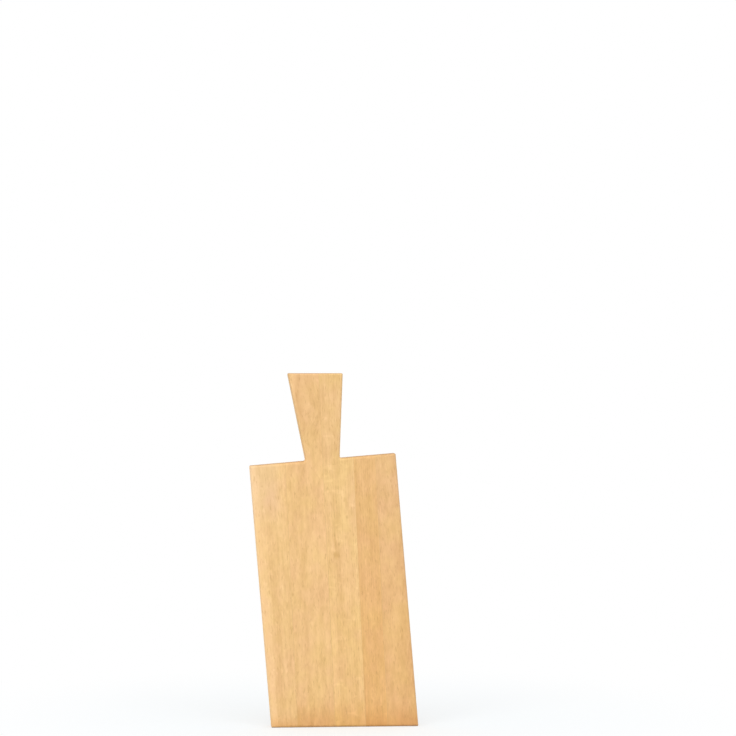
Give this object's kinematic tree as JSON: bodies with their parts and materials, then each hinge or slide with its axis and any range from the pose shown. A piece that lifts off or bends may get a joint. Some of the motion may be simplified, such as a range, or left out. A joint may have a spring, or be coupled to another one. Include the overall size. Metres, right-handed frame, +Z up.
{
  "type": "cutting board with handle",
  "caption": "Oak cutting and serving board with an oblong body and a flared handle, glued up from staves, its ends sawn askew so that it stands at a slant.",
  "frame": {"origin": "middle of the foot, on the surface that the board stands on", "axes": "+Z up along the standing height, +X to the right of someone who faces the board, and the front face looks along -Y"},
  "size_m": [0.1726, 0.018, 0.3612],
  "materials": {
    "left_oak": "oiled, satin",
    "left_handle_oak": "oiled, satin",
    "right_handle_oak": "oiled, satin",
    "right_inner_oak": "oiled, satin",
    "right_oak": "oiled, satin",
    "glue": "cured wood glue, dull"
  },
  "bodies": {
    "root": {"left_stave": "left_oak", "left_handle_stave": "left_handle_oak", "right_handle_stave": "right_handle_oak", "right_inner_stave": "right_inner_oak", "right_stave": "right_oak", "left_glue_line": "glue", "middle_glue_line": "glue", "right_inner_glue_line": "glue", "right_glue_line": "glue"}
  },
  "joints": []
}
